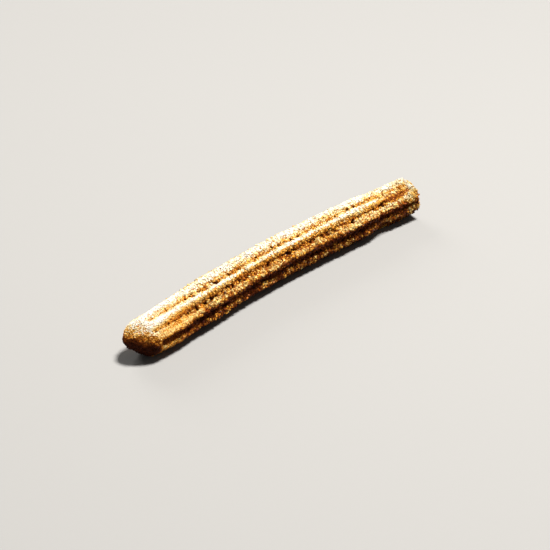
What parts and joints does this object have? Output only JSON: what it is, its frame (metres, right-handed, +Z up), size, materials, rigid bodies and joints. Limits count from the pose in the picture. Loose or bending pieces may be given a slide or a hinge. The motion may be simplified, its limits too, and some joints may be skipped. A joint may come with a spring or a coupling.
{
  "type": "churro",
  "caption": "Long ridged bar of fried dough, slightly bowed, with one slanted rounded end and one blunt end, crusted with cinnamon sugar.",
  "frame": {"origin": "middle of the bounding box, at the bottom, on the surface the churro lies on", "axes": "+X along the bar from its slanted end to its blunt end, +Y towards the side it bows to, +Z up"},
  "size_m": [0.2582, 0.0324, 0.0258],
  "materials": {
    "fried_crust": "golden brown fried crust coated with grains of sugar and cinnamon"
  },
  "bodies": {
    "root": {"churro": "fried_crust"}
  },
  "joints": []
}
